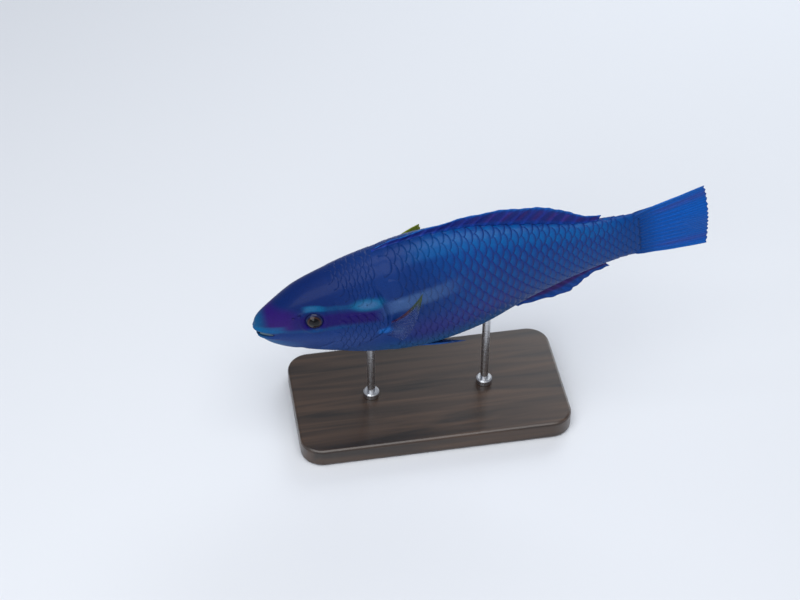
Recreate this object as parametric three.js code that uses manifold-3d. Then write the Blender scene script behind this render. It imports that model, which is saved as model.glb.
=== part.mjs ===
// A terminal-phase parrotfish, life size, nose slightly down, on a plain two-rod display stand.
// Millimetres, +Z up. The head points to -X and the fish's left side to -Y.
// The origin is the middle of the stand's underside.
import * as THREE from "three";
import { mergeVertices } from "three/addons/utils/BufferGeometryUtils.js";
import Module from "manifold-3d";

const wasm = await Module();
wasm.setup();

const { lerp, degToRad, smoothstep } = THREE.MathUtils;
const TURN = 2 * Math.PI;

// Driving sizes
const LENGTH = 280; // snout to the end of the tail fin
const NOSE_DOWN = degToRad(8);
const GAP = 0.3; // left between neighbours
const SEAM = 0.65; // step along the body from one length of flesh to the next
const AXIS_HEIGHT = 104; // of the body's axis over the floor, at the balance point
const BALANCE = 0.386 * LENGTH; // how far behind the snout the fish balances

// The body's outline, as shares of LENGTH: distance behind the snout, back, belly, half width.
const STATIONS = [
  [0, -0.018, -0.018, 0],
  [0.02, 0.0125, -0.067, 0.0245],
  [0.05, 0.0325, -0.088, 0.0392],
  [0.1, 0.063, -0.11, 0.0516],
  [0.16, 0.085, -0.132, 0.0596],
  [0.24, 0.107, -0.1575, 0.0673],
  [0.36, 0.1265, -0.1675, 0.0735],
  [0.48, 0.125, -0.148, 0.0655],
  [0.6, 0.099, -0.102, 0.0465],
  [0.72, 0.0675, -0.0695, 0.0265],
  [0.8, 0.061, -0.0565, 0.0165],
  [0.86, 0.0585, -0.0565, 0.0055],
];
const ROUNDNESS = 2.15; // exponent of the body's cross-section: 2 is an ellipse

// Where things are along the body, as shares of LENGTH
const NAPE = 0.264; // head ends here on top
const THROAT = 0.158; // and here below
const GILL_BULGE = 0.017; // the gill cover reaches this far past the nape
const STALK = 0.7;
const FIN_ROOT = 0.845; // of the tail fin

// Mouth and beak
const MOUTH_Z = -0.0325 * LENGTH;
const MOUTH = { deep: 15, wide: 14, high: 1.9 };
const LIP = { high: 0.9, off: 2.6, wide: 1.3, from: 0.03, to: 0.055 };
const BEAK_THICK = 3;
const JAW_CUT = { x: 10.4, lean: degToRad(38), size: 60 };

// Eyes and nostrils: place on the skin, and half sizes
const EYE = { at: 0.128, angle: degToRad(77), radius: 6, depth: 4.4, proud: 1.7 };
const NOSTRILS = [
  { at: 0.1, angle: degToRad(63), radius: 0.85 },
  { at: 0.086, angle: degToRad(64), radius: 0.65 },
];

// Gill covers: a plate let into each side of the head
const AROUND = 48; // flat faces round the head and torso
const COVER = { first: 8, rows: 9, length: 0.075, narrow: 0.3 }; // rows counted in those faces
const COVER_PROUD = 0.9;
const COVER_SUNK = 1.6;
const RIM = 4; // the flesh is this thick round the gill opening

// Stand
const BASE = { long: 170, wide: 88, high: 12, corner: 14, bevel: 1.5 };
const ROD = { radius: 2.5, spread: 36, sides: 28 };
const COLLAR = { radius: 5, high: 4, bevel: 0.8 };

// Materials
const paint = (color, roughness, metalness = 0) =>
  new THREE.MeshStandardMaterial({ color, roughness, metalness });
const SKIN = paint(0x1b4f96, 0.4);
const NAPE_SKIN = paint(0x27477f, 0.4);
const FIN = paint(0x1451a8, 0.45);
const CLEAR_FIN = paint(0x8a8a52, 0.45);
const BEAK = paint(0xcfd9cf, 0.3);
const EYEBALL = paint(0x3b2a24, 0.1);
const BASE_WOOD = paint(0x2a211c, 0.5);
const STEEL = paint(0xb4b6ba, 0.3, 1);

// A smooth function through one column of STATIONS, drawn over the root of the distance,
// so that the snout comes out round.
function profile(column) {
  const x = STATIONS.map((row) => Math.sqrt(row[0]));
  const y = STATIONS.map((row) => row[column]);
  const last = x.length - 1;
  const slope = (i) => {
    const lo = Math.max(i - 1, 0);
    const hi = Math.min(i + 1, last);
    return (y[hi] - y[lo]) / (x[hi] - x[lo]);
  };
  return (share) => {
    const at = Math.sqrt(share);
    let i = 0;
    while (i < last - 1 && x[i + 1] < at) i++;
    const wide = x[i + 1] - x[i];
    const t = (at - x[i]) / wide;
    const t2 = t * t;
    const t3 = t2 * t;
    return (
      (2 * t3 - 3 * t2 + 1) * y[i] +
      (t3 - 2 * t2 + t) * wide * slope(i) +
      (3 * t2 - 2 * t3) * y[i + 1] +
      (t3 - t2) * wide * slope(i + 1)
    );
  };
}
const back = profile(1);
const belly = profile(2);
const halfWidth = profile(3);

// A point of the skin. Angle 0 is the back, a quarter turn the left side, a half turn the belly.
function skin(share, angle, grow = 0) {
  const bent = (v) => Math.sign(v) * Math.abs(v) ** (2 / ROUNDNESS);
  const half = ((back(share) - belly(share)) / 2) * LENGTH + grow;
  const middle = ((back(share) + belly(share)) / 2) * LENGTH;
  const wide = halfWidth(share) * LENGTH + grow;
  return new THREE.Vector3(
    share * LENGTH,
    -wide * bent(Math.sin(angle)),
    middle + half * bent(Math.cos(angle)),
  );
}

// The way out of the skin there
function outward(share, angle) {
  const step = 1e-3;
  const along = skin(share + step, angle).sub(skin(Math.max(share - step, 0), angle));
  const round = skin(share, angle + step).sub(skin(share, angle - step));
  return round.cross(along).normalize();
}

// Angle from the back, whichever side it is on
const fromBack = (angle) => Math.abs(Math.atan2(Math.sin(angle), Math.cos(angle)));

// How far back the head reaches: across the nape, round the gill cover, forward to the throat
function gillEdge(angle) {
  const a = fromBack(angle);
  const below = smoothstep(a, degToRad(88), degToRad(150));
  const bulge = Math.exp(-(((a - degToRad(88)) / degToRad(26)) ** 2));
  return lerp(NAPE, THROAT, below) + GILL_BULGE * bulge;
}

// A closed geometry from rings of points. The first and last rings are single points.
function form(around, rings) {
  const shape = new THREE.SphereGeometry(1, around, rings.length - 1);
  const { position, uv } = shape.attributes;
  for (let i = 0; i < position.count; i++) {
    const ring = Math.round((1 - uv.getY(i)) * (rings.length - 1));
    const p = rings[ring]((1 - uv.getX(i)) * TURN);
    position.setXYZ(i, p.x, p.y, p.z);
  }
  shape.deleteAttribute("normal");
  shape.deleteAttribute("uv");
  return mergeVertices(shape, 1e-4);
}

// A closed geometry between two faces that are split into triangles alike.
// at(i, j, side) gives a point of the face on that side, 1 or -1.
function plate(columns, rows, at) {
  const points = [];
  const faces = [];
  const size = (columns + 1) * (rows + 1);
  for (const side of [1, -1])
    for (let j = 0; j <= rows; j++)
      for (let i = 0; i <= columns; i++) points.push(...at(i, j, side).toArray());
  const index = (i, j, side) => (side < 0 ? size : 0) + j * (columns + 1) + i;
  for (let j = 0; j < rows; j++)
    for (let i = 0; i < columns; i++)
      for (const side of [1, -1]) {
        const [a, b] = [index(i, j, side), index(i + 1, j, side)];
        const [c, d] = [index(i + 1, j + 1, side), index(i, j + 1, side)];
        if (side > 0) faces.push(a, b, c, a, c, d);
        else faces.push(a, c, b, a, d, c);
      }
  const rim = [];
  for (let i = 0; i < columns; i++) rim.push([i, 0]);
  for (let j = 0; j < rows; j++) rim.push([columns, j]);
  for (let i = columns; i > 0; i--) rim.push([i, rows]);
  for (let j = rows; j > 0; j--) rim.push([0, j]);
  rim.forEach(([i, j], k) => {
    const [m, n] = rim[(k + 1) % rim.length];
    const [a, b] = [index(i, j, 1), index(m, n, 1)];
    const [c, d] = [index(m, n, -1), index(i, j, -1)];
    faces.push(a, c, b, a, d, c);
  });
  const shape = new THREE.BufferGeometry();
  shape.setAttribute("position", new THREE.Float32BufferAttribute(points, 3));
  shape.setIndex(faces);
  return shape;
}

// Solids for cutting and joining
function solid(geometry) {
  const bare = geometry.clone();
  bare.deleteAttribute("normal");
  bare.deleteAttribute("uv");
  const merged = mergeVertices(bare, 1e-4);
  const made = new wasm.Manifold(
    new wasm.Mesh({
      numProp: 3,
      vertProperties: new Float32Array(merged.attributes.position.array),
      triVerts: new Uint32Array(merged.index.array),
    }),
  );
  return made;
}

function geometryOf(body) {
  const mesh = body.getMesh();
  const shape = new THREE.BufferGeometry();
  shape.setAttribute("position", new THREE.BufferAttribute(mesh.vertProperties, 3));
  shape.setIndex(new THREE.BufferAttribute(mesh.triVerts, 1));
  return shape;
}

// The closed pieces of a cut body, largest first
const pieces = (body) => body.decompose().sort((a, b) => b.volume() - a.volume());

// Rings of flesh from one share of the length to another, both told for each angle
function fleshRings(count, from, to, grow = 0, bend = 1) {
  return Array.from({ length: count + 1 }, (_, i) => (angle) => {
    const share = lerp(from(angle), to(angle), (i / count) ** bend);
    return skin(share, angle, grow);
  });
}

// Rings that close an end, drawn in from its edge to one point
function capRings(count, edge, point) {
  return Array.from({ length: count }, (_, i) => (angle) =>
    edge(angle).lerp(point, (i + 1) / count),
  );
}

// The face between the head and the torso: straight in from the gill opening, then forward
function gillFace(shift) {
  const edge = (angle) => skin(gillEdge(angle) + shift / LENGTH, angle, -RIM);
  const point = new THREE.Vector3(THROAT * LENGTH - 2 + shift, 0, -2);
  return [edge, ...capRings(2, edge, point)];
}

// The head

// Lips stand up from the skin above and below the mouth.
function lipRise(share, z) {
  const off = (Math.abs(z - MOUTH_Z) - LIP.off) / LIP.wide;
  return LIP.high * Math.exp(-off * off) * (1 - smoothstep(share, LIP.from, LIP.to));
}

function headSkin(share, angle) {
  const p = skin(share, angle);
  const out = share > 0 ? outward(share, angle) : new THREE.Vector3(-1, 0, 0);
  return p.addScaledVector(out, lipRise(share, p.z));
}

function headForm() {
  const count = 22;
  const skinRings = Array.from({ length: count + 1 }, (_, i) => (angle) =>
    headSkin(gillEdge(angle) * (i / count) ** 2, angle),
  );
  return form(AROUND, [...skinRings, ...gillFace(0)]);
}

// The same head with no lips, shrunk by an amount, for fitting the beak
function innerHead(less) {
  const count = 16;
  const rings = Array.from({ length: count + 1 }, (_, i) => (angle) => {
    const p = skin(0.12 * (i / count) ** 2, angle, i ? -less : 0);
    p.x += less;
    return p;
  });
  return solid(form(32, [...rings, ...capRings(1, rings[count], new THREE.Vector3(40, 0, -2))]));
}

// The slot of the mouth: a flat ellipsoid let in from the snout
function mouthSlot(less = 0) {
  const ball = new THREE.SphereGeometry(1, 32, 10);
  ball.rotateX(Math.PI / 2);
  ball.scale(MOUTH.deep - less, MOUTH.wide - less, MOUTH.high - less);
  ball.translate(0, 0, MOUTH_Z);
  return solid(ball);
}

// The thin cut behind the lower jaw, from the corners of the mouth down and back
function jawCut() {
  const sheet = new THREE.BoxGeometry(GAP, JAW_CUT.size, JAW_CUT.size);
  sheet.translate(0, 0, -JAW_CUT.size / 2);
  sheet.rotateY(-JAW_CUT.lean);
  sheet.translate(JAW_CUT.x, 0, MOUTH_Z);
  return solid(sheet);
}

// An eyeball as a flattened ball set into the skin. side is 1 on the left and -1 on the right.
function eyeShape(side, more = 0) {
  const ball = new THREE.SphereGeometry(1, 20, 12);
  ball.rotateX(Math.PI / 2);
  ball.scale(EYE.radius + more, EYE.radius + more, EYE.depth + more);
  const out = outward(EYE.at, side * EYE.angle);
  const turn = new THREE.Quaternion().setFromUnitVectors(new THREE.Vector3(0, 0, 1), out);
  ball.applyQuaternion(turn);
  const centre = skin(EYE.at, side * EYE.angle).addScaledVector(out, EYE.proud - EYE.depth);
  return ball.translate(centre.x, centre.y, centre.z);
}

function nostrilPit(side, { at, angle, radius }) {
  const p = skin(at, side * angle);
  return solid(new THREE.SphereGeometry(radius, 10, 8).translate(p.x, p.y, p.z));
}

// A gill cover, or with more its pocket: a curved plate whose rear edge is the gill opening
function coverPlate(side, more, low, high) {
  const columns = 12;
  const wider = more / (halfWidth(NAPE) * LENGTH);
  const top = (COVER.first * TURN) / AROUND - wider;
  const bottom = ((COVER.first + COVER.rows) * TURN) / AROUND + wider;
  return plate(columns, COVER.rows, (i, j, face) => {
    const down = j / COVER.rows;
    const angle = lerp(top, bottom, down);
    const full = Math.max(Math.sin(Math.PI * down) ** 0.6, COVER.narrow);
    const rear = gillEdge(angle) + (more ? 0.02 : 0);
    const front = gillEdge(angle) - COVER.length * full - more / LENGTH;
    const share = lerp(front, rear, i / columns);
    return skin(share, side * angle, face * side > 0 ? low : high);
  });
}

function headSolids() {
  let whole = solid(headForm()).subtract(mouthSlot()).subtract(jawCut());
  for (const side of [1, -1]) {
    whole = whole.subtract(solid(eyeShape(side, GAP)));
    whole = whole.subtract(solid(coverPlate(side, GAP, -COVER_SUNK - GAP, 4)));
    for (const nostril of NOSTRILS) whole = whole.subtract(nostrilPit(side, nostril));
  }
  const [head, jaw] = pieces(whole);
  return { head, jaw };
}

// The beak: two plates inside the mouth's slot, parted along the bite
function beakSolids() {
  const blank = mouthSlot(GAP).intersect(innerHead(0)).subtract(innerHead(BEAK_THICK));
  const bite = new THREE.BoxGeometry(LENGTH, LENGTH, GAP).translate(0, 0, MOUTH_Z);
  const [a, b] = pieces(blank.subtract(solid(bite)));
  const top = (body) => body.boundingBox().max[2];
  return top(a) > top(b) ? { upper: a, lower: b } : { upper: b, lower: a };
}

// The body grown by the gap, for trimming what stands against it
function grownBody() {
  const [from, count] = [0.12, 24];
  const rings = fleshRings(count, () => from, () => STALK, GAP);
  const [front, rear] = [from, STALK].map((share) => new THREE.Vector3(share * LENGTH, 0, 0));
  const caps = [capRings(1, rings[0], front), capRings(1, rings[count], rear)];
  return solid(form(AROUND, [...caps[0], ...rings, ...caps[1]]));
}

const BODY = grownBody();

// The torso and the stalk of the tail

function torsoShape() {
  const from = (angle) => gillEdge(angle) + SEAM / LENGTH;
  const flesh = fleshRings(18, from, () => STALK);
  const end = new THREE.Vector3(STALK * LENGTH, 0, 0);
  return form(AROUND, [...gillFace(SEAM).reverse(), ...flesh, ...capRings(1, flesh[18], end)]);
}

function stalkShape() {
  const from = STALK + GAP / LENGTH;
  const flesh = fleshRings(8, () => from, () => FIN_ROOT);
  const front = capRings(1, flesh[0], new THREE.Vector3(from * LENGTH, 0, 0)).reverse();
  const end = new THREE.Vector3(FIN_ROOT * LENGTH, 0, 0);
  return form(32, [...front, ...flesh, ...capRings(1, flesh[8], end)]);
}

// Fins

// A fin: a membrane with a ridge along each ray. centre(across, out) is its middle surface,
// with across from the first ray to the last and out from the root to the margin.
function finShape({ rays, rows, centre, root, membrane, ray, scallop }) {
  const RIDGE = [0, 0.24, 0.76]; // where the membrane is bent, between one ray and the next
  const columns = (rays - 1) * RIDGE.length;
  const across = (i) =>
    (Math.floor(i / RIDGE.length) + RIDGE[i % RIDGE.length]) / (rays - 1);
  return plate(columns, rows, (i, j, face) => {
    const onRay = i % RIDGE.length === 0;
    const s = across(i);
    const out = (j / rows) * (onRay ? 1 : 1 - scallop);
    const step = 0.01;
    const along = centre(s, Math.min(out + step, 1)).sub(centre(s, Math.max(out - step, 0)));
    const wide = centre(Math.min(s + step, 1), out).sub(centre(Math.max(s - step, 0), out));
    const normal = wide.cross(along).normalize();
    const tip = onRay ? lerp(ray, membrane, out) : membrane;
    const thick = lerp(root, tip, smoothstep(j / rows, 0, 0.3));
    return centre(s, out).addScaledVector(normal, (face * thick) / 2);
  });
}

// The dorsal fin: low and folded in front, higher over the soft rays
function dorsalFin() {
  const from = 0.276;
  const to = 0.757;
  return finShape({
    rays: 19,
    rows: 4,
    root: 1.6,
    membrane: 0.6,
    ray: 1.3,
    scallop: 0.07,
    centre: (s, out) => {
      const share = lerp(from, to, s);
      const high =
        lerp(3.4, 9.4, smoothstep(s, 0.1, 0.65)) *
        lerp(0.45, 1, smoothstep(s, 0, 0.06)) *
        lerp(1, 0.3, smoothstep(s, 0.68, 1.02));
      const lean = degToRad(lerp(30, 46, s));
      return new THREE.Vector3(
        share * LENGTH + (out * high) / Math.tan(lean),
        0,
        back(share) * LENGTH + GAP + out * high,
      );
    },
  });
}

// The anal fin, folded back under the tail
function analFin() {
  const from = 0.548;
  const to = 0.762;
  return finShape({
    rays: 12,
    rows: 4,
    root: 1.6,
    membrane: 0.6,
    ray: 1.3,
    scallop: 0.06,
    centre: (s, out) => {
      const share = lerp(from, to, s);
      const deep =
        lerp(3, 9.6, smoothstep(s, -0.1, 0.42)) * lerp(1, 0.42, smoothstep(s, 0.4, 0.9));
      const lean = degToRad(lerp(34, 46, s));
      return new THREE.Vector3(
        share * LENGTH + (out * deep) / Math.tan(lean),
        0,
        belly(share) * LENGTH - GAP - out * deep,
      );
    },
  });
}

// The tail fin: nearly straight-ended, half closed, with a light ripple
function tailFin() {
  const rootHalf = { up: back(FIN_ROOT) * LENGTH, down: belly(FIN_ROOT) * LENGTH };
  const tips = { up: 0.084 * LENGTH, down: -0.077 * LENGTH };
  return finShape({
    rays: 14,
    rows: 6,
    root: 3,
    membrane: 0.6,
    ray: 1.2,
    scallop: 0.012,
    centre: (s, out) => {
      const z0 = lerp(rootHalf.up, rootHalf.down, s);
      const z1 = lerp(tips.up, tips.down, s);
      const x0 = FIN_ROOT * LENGTH + GAP;
      const edge = Math.abs(2 * s - 1);
      const x1 = LENGTH * lerp(1, 0.994, edge ** 4);
      const ripple = 1.1 * Math.sin(s * 9 + 0.6) * smoothstep(out, 0.25, 1);
      const bend = 2.5 * out * out;
      return new THREE.Vector3(
        lerp(x0, x1, out),
        ripple + bend,
        lerp(z0, z1, out ** 0.7),
      );
    },
  });
}

// A paired fin. Its root lies on the skin from place a to place b, and its rays turn evenly
// from the first one's direction to the last one's. The first one bends the most.
function pairedFin({ side, a, b, first, last, bow, shorten, rays, rows, root, membrane, ray }) {
  const mirror = (v) => new THREE.Vector3(v[0], -side * v[1], v[2]);
  const start = mirror(first);
  const end = mirror(last);
  const turn = new THREE.Quaternion().setFromUnitVectors(
    start.clone().normalize(),
    end.clone().normalize(),
  );
  return finShape({
    rays,
    rows,
    root,
    membrane,
    ray,
    scallop: 0.03,
    centre: (s, out) => {
      const share = lerp(a.at, b.at, s);
      const angle = side * degToRad(lerp(a.angle, b.angle, s));
      const foot = skin(share, angle).addScaledVector(outward(share, angle), -root);
      const half = new THREE.Quaternion().slerp(turn, s);
      const long = lerp(start.length(), end.length(), s ** shorten);
      const way = start.clone().normalize().applyQuaternion(half);
      const bend = Math.sin(Math.PI * out) * (1 - s);
      return foot.addScaledVector(way, long * out).addScaledVector(mirror(bow), bend);
    },
  });
}

// Behind the gill covers: the left one raised, the right one swept out and back
const STROKES = {
  left: { first: [21.5, 18, 34.5], last: [8, 12, 3.5], bow: [0, 1.6, -1.6], shorten: 0.8 },
  right: { first: [31, 27, 16], last: [18, 17, -12], bow: [-6, 3, 4.5], shorten: 1.9 },
};
const pectoralFin = (side) =>
  pairedFin({
    side,
    a: { at: 0.284, angle: 95 },
    b: { at: 0.272, angle: 110 },
    ...STROKES[side > 0 ? "left" : "right"],
    rays: 13,
    rows: 5,
    root: 1.8,
    membrane: 0.6,
    ray: 1.1,
  });

// Folded back along the belly
const pelvicFin = (side) =>
  pairedFin({
    side,
    a: { at: 0.318, angle: 156 },
    b: { at: 0.322, angle: 168 },
    first: [34, 6, -1],
    last: [20, 1, -2.2],
    bow: [0, 0.5, -0.5],
    shorten: 1,
    rays: 6,
    rows: 4,
    root: 1.6,
    membrane: 0.6,
    ray: 1.2,
  });

// The stand

function baseShape() {
  const { long, wide, high, corner, bevel } = BASE;
  const [x, y] = [long / 2 - corner, wide / 2 - corner];
  const r = corner - bevel;
  const outline = new THREE.Shape();
  outline.absarc(x, y, r, 0, TURN / 4);
  outline.absarc(-x, y, r, TURN / 4, TURN / 2);
  outline.absarc(-x, -y, r, TURN / 2, 0.75 * TURN);
  outline.absarc(x, -y, r, 0.75 * TURN, TURN);
  return new THREE.ExtrudeGeometry(outline, {
    depth: high - 2 * bevel,
    bevelEnabled: true,
    bevelThickness: bevel,
    bevelSize: bevel,
    bevelSegments: 2,
    curveSegments: 8,
  }).translate(0, 0, bevel);
}

// From the fish's own axes to the stand's: nose down about the balance point
const fish = new THREE.Group();
fish.rotation.y = -NOSE_DOWN;
fish.position.set(0, 0, AXIS_HEIGHT);
const body = new THREE.Group();
body.position.x = -BALANCE;
fish.add(body);

// A rod with a collar at its foot, up to the belly and trimmed to lie against it
function rodShape(x) {
  const foot = BASE.high + GAP;
  const outline = [
    [0, foot],
    [COLLAR.radius, foot],
    [COLLAR.radius, foot + COLLAR.high - COLLAR.bevel],
    [COLLAR.radius - COLLAR.bevel, foot + COLLAR.high],
    [ROD.radius, foot + COLLAR.high],
    [ROD.radius, AXIS_HEIGHT],
    [0, AXIS_HEIGHT],
  ].map(([r, z]) => new THREE.Vector2(r, z));
  const rod = new THREE.LatheGeometry(outline, ROD.sides);
  rod.rotateX(Math.PI / 2).translate(x, 0, 0);
  fish.updateMatrixWorld(true);
  const grown = geometryOf(BODY).applyMatrix4(body.matrixWorld);
  const trimmed = pieces(solid(rod).subtract(solid(grown)));
  const lowest = (piece) => piece.boundingBox().min[2];
  return geometryOf(trimmed.sort((p, q) => lowest(p) - lowest(q))[0]);
}

// The model
const model = new THREE.Group();
model.add(fish);

function add(group, name, geometry, material) {
  const mesh = new THREE.Mesh(geometry, material);
  mesh.name = name;
  group.add(mesh);
}

const againstBody = (shape) => geometryOf(pieces(solid(shape).subtract(BODY))[0]);
const { head, jaw } = headSolids();
const beak = beakSolids();
add(body, "head", geometryOf(head), NAPE_SKIN);
add(body, "lower_jaw", geometryOf(jaw), NAPE_SKIN);
add(body, "beak_upper", geometryOf(beak.upper), BEAK);
add(body, "beak_lower", geometryOf(beak.lower), BEAK);
add(body, "torso", torsoShape(), SKIN);
add(body, "tail_stalk", stalkShape(), SKIN);
add(body, "dorsal_fin", dorsalFin(), FIN);
add(body, "anal_fin", analFin(), FIN);
add(body, "tail_fin", tailFin(), FIN);
for (const [side, word] of [[1, "left"], [-1, "right"]]) {
  add(body, `eye_${word}`, eyeShape(side), EYEBALL);
  add(body, `gill_cover_${word}`, coverPlate(side, 0, -COVER_SUNK, COVER_PROUD), NAPE_SKIN);
  add(body, `pectoral_fin_${word}`, againstBody(pectoralFin(side)), CLEAR_FIN);
  add(body, `pelvic_fin_${word}`, againstBody(pelvicFin(side)), FIN);
}
add(model, "stand_base", baseShape(), BASE_WOOD);
add(model, "stand_rod_front", rodShape(-ROD.spread), STEEL);
add(model, "stand_rod_rear", rodShape(ROD.spread), STEEL);

export default model;
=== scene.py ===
import math

import bpy
import numpy as np
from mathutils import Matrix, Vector


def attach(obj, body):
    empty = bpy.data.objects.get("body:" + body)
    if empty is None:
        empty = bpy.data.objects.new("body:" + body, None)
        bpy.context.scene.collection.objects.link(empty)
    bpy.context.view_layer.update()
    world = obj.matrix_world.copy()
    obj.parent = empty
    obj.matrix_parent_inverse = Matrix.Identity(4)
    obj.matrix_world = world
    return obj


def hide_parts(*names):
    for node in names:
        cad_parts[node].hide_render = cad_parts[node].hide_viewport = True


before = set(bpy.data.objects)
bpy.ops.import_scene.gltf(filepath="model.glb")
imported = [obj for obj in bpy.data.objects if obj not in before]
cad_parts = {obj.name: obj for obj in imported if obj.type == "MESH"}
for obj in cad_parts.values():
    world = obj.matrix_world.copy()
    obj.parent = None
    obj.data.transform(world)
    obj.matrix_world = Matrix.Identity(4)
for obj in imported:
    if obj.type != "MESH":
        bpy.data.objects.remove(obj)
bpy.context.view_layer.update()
MM = 0.001

# The camera and the setting

LENS, SENSOR, DISTANCE = 85.0, 36.0, 1.134
AZIMUTH, ELEVATION = math.radians(-9.6), math.radians(42.5)
LOOK_AT = Vector((-0.0178, 0.0, 0.0898))
FLOOR_SIZE = 6.0
WORLD_LIGHT = 0.38


def new_object(name, data):
    thing = bpy.data.objects.new(name, data)
    bpy.context.scene.collection.objects.link(thing)
    return thing


def add_camera():
    data = bpy.data.cameras.new("camera")
    data.lens, data.sensor_width = LENS, SENSOR
    camera = new_object("camera", data)
    level = math.cos(ELEVATION)
    away = Vector((math.sin(AZIMUTH) * level, -math.cos(AZIMUTH) * level, math.sin(ELEVATION)))
    camera.location = LOOK_AT + away * DISTANCE
    camera.rotation_euler = (-away).to_track_quat("-Z", "Y").to_euler()
    bpy.context.scene.camera = camera


def add_light(name, place, size, watts, tint=(1, 1, 1)):
    data = bpy.data.lights.new(name, "AREA")
    data.shape, data.size, data.size_y = "RECTANGLE", size[0], size[1]
    data.energy, data.color = watts, tint
    light = new_object(name, data)
    light.location = place
    light.rotation_euler = (LOOK_AT - Vector(place)).to_track_quat("-Z", "Y").to_euler()


def add_studio():
    scene = bpy.context.scene
    scene.view_settings.view_transform = "Standard"
    world = bpy.data.worlds.new("studio")
    world.use_nodes = True
    backdrop = world.node_tree.nodes["Background"]
    set_values(backdrop, {"Color": (0.86, 0.9, 1.0, 1), "Strength": WORLD_LIGHT})
    scene.world = world
    add_light("top_softbox", (-0.1, -0.25, 1.1), (1.1, 0.8), 9.0)
    add_light("front_softbox", (-0.7, -1.0, 0.7), (0.9, 0.7), 6.0, (0.93, 0.96, 1))
    add_light("rim_softbox", (0.6, 0.9, 0.6), (0.8, 0.5), 5.0, (0.9, 0.95, 1))


def add_floor():
    half = FLOOR_SIZE / 2
    mesh = bpy.data.meshes.new("floor")
    corners = [(-half, -half, 0), (half, -half, 0), (half, half, 0), (-half, half, 0)]
    mesh.from_pydata(corners, [], [(0, 1, 2, 3)])
    floor = new_object("floor", mesh)
    floor.data.materials.append(floor_paper())


# The fish's own axes: +X from snout to tail, +Z up, its left side at -Y, all in shares of its length.

LENGTH = 0.28
NOSE_DOWN = math.radians(8)
AXIS_HEIGHT = 0.104
BALANCE = 0.386

# Distance behind the snout, back, belly, half width
STATIONS = np.array(
    [
        [0, -0.018, -0.018, 0],
        [0.02, 0.0125, -0.067, 0.0245],
        [0.05, 0.0325, -0.088, 0.0392],
        [0.1, 0.063, -0.11, 0.0516],
        [0.16, 0.085, -0.132, 0.0596],
        [0.24, 0.107, -0.1575, 0.0673],
        [0.36, 0.1265, -0.1675, 0.0735],
        [0.48, 0.125, -0.148, 0.0655],
        [0.6, 0.099, -0.102, 0.0465],
        [0.72, 0.0675, -0.0695, 0.0265],
        [0.8, 0.061, -0.0565, 0.0165],
        [0.86, 0.0585, -0.0565, 0.0055],
    ]
)
ROUNDNESS = 2.15
NAPE, THROAT, GILL_BULGE = 0.264, 0.158, 0.017
FIN_ROOT = 0.845
MOUTH_Z = -0.0325
EYE_AT, EYE_ANGLE = 0.128, math.radians(77)
EYE_RADIUS, EYE_DEPTH, EYE_PROUD = 6 * MM, 4.4 * MM, 1.7 * MM
COAT = 0.35 * MM  # the skin lies this far inside the solids, under the scales


def smooth(x, lo, hi):
    t = np.clip((np.asarray(x, float) - lo) / (hi - lo), 0, 1)
    return t * t * (3 - 2 * t)


def mix(a, b, t):
    return a + (b - a) * t


def bell(x, middle, width):
    return np.exp(-(((x - middle) / width) ** 2))


def profile(share, column):
    """A smooth curve through one column of STATIONS, drawn over the root of the distance."""
    x, y = np.sqrt(STATIONS[:, 0]), STATIONS[:, column]
    at = np.sqrt(np.clip(share, 0, STATIONS[-1, 0]))
    i = np.clip(np.searchsorted(x, at, side="right") - 1, 0, len(x) - 2)
    slope = np.empty_like(x)
    slope[1:-1] = (y[2:] - y[:-2]) / (x[2:] - x[:-2])
    slope[0] = (y[1] - y[0]) / (x[1] - x[0])
    slope[-1] = (y[-1] - y[-2]) / (x[-1] - x[-2])
    wide = x[i + 1] - x[i]
    t = (at - x[i]) / wide
    t2, t3 = t * t, t * t * t
    return (
        (2 * t3 - 3 * t2 + 1) * y[i]
        + (t3 - 2 * t2 + t) * wide * slope[i]
        + (3 * t2 - 2 * t3) * y[i + 1]
        + (t3 - t2) * wide * slope[i + 1]
    )


def back(share):
    return profile(share, 1)


def belly(share):
    return profile(share, 2)


def middle_and_half(share):
    """The height of a section's middle and half its height."""
    return (back(share) + belly(share)) / 2, (back(share) - belly(share)) / 2


def body_point(share, angle):
    """A point of the body in shares of its length. Angle 0 is the back and a quarter turn the left side."""
    bent = lambda v: np.sign(v) * np.abs(v) ** (2 / ROUNDNESS)
    middle, half = middle_and_half(share)
    wide = profile(share, 3)
    share, angle = np.broadcast_arrays(share, angle)
    return np.stack([share, -wide * bent(np.sin(angle)), middle + half * bent(np.cos(angle))], -1)


def body_normal(share, angle):
    step = 1e-3
    along = body_point(share + step, angle) - body_point(np.maximum(share - step, 0), angle)
    around = body_point(share, angle + step) - body_point(share, angle - step)
    n = np.cross(around, along)
    return n / np.maximum(np.linalg.norm(n, axis=-1, keepdims=True), 1e-12)


def from_back(angle):
    return np.abs(np.arctan2(np.sin(angle), np.cos(angle)))


def gill_edge(angle):
    a = from_back(angle)
    below = smooth(a, math.radians(88), math.radians(150))
    return mix(NAPE, THROAT, below) + GILL_BULGE * bell(a, math.radians(88), math.radians(26))


def to_stand(points):
    """From the fish's own axes to the model's, in metres."""
    p = np.asarray(points, float) * LENGTH
    x, z = p[..., 0] - BALANCE * LENGTH, p[..., 2]
    c, s = math.cos(NOSE_DOWN), math.sin(NOSE_DOWN)
    return np.stack([x * c - z * s, p[..., 1], x * s + z * c + AXIS_HEIGHT], -1)


def turn_to_stand(ways):
    w = np.asarray(ways, float)
    c, s = math.cos(NOSE_DOWN), math.sin(NOSE_DOWN)
    return np.stack([w[..., 0] * c - w[..., 2] * s, w[..., 1], w[..., 0] * s + w[..., 2] * c], -1)


# Meshes

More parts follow.
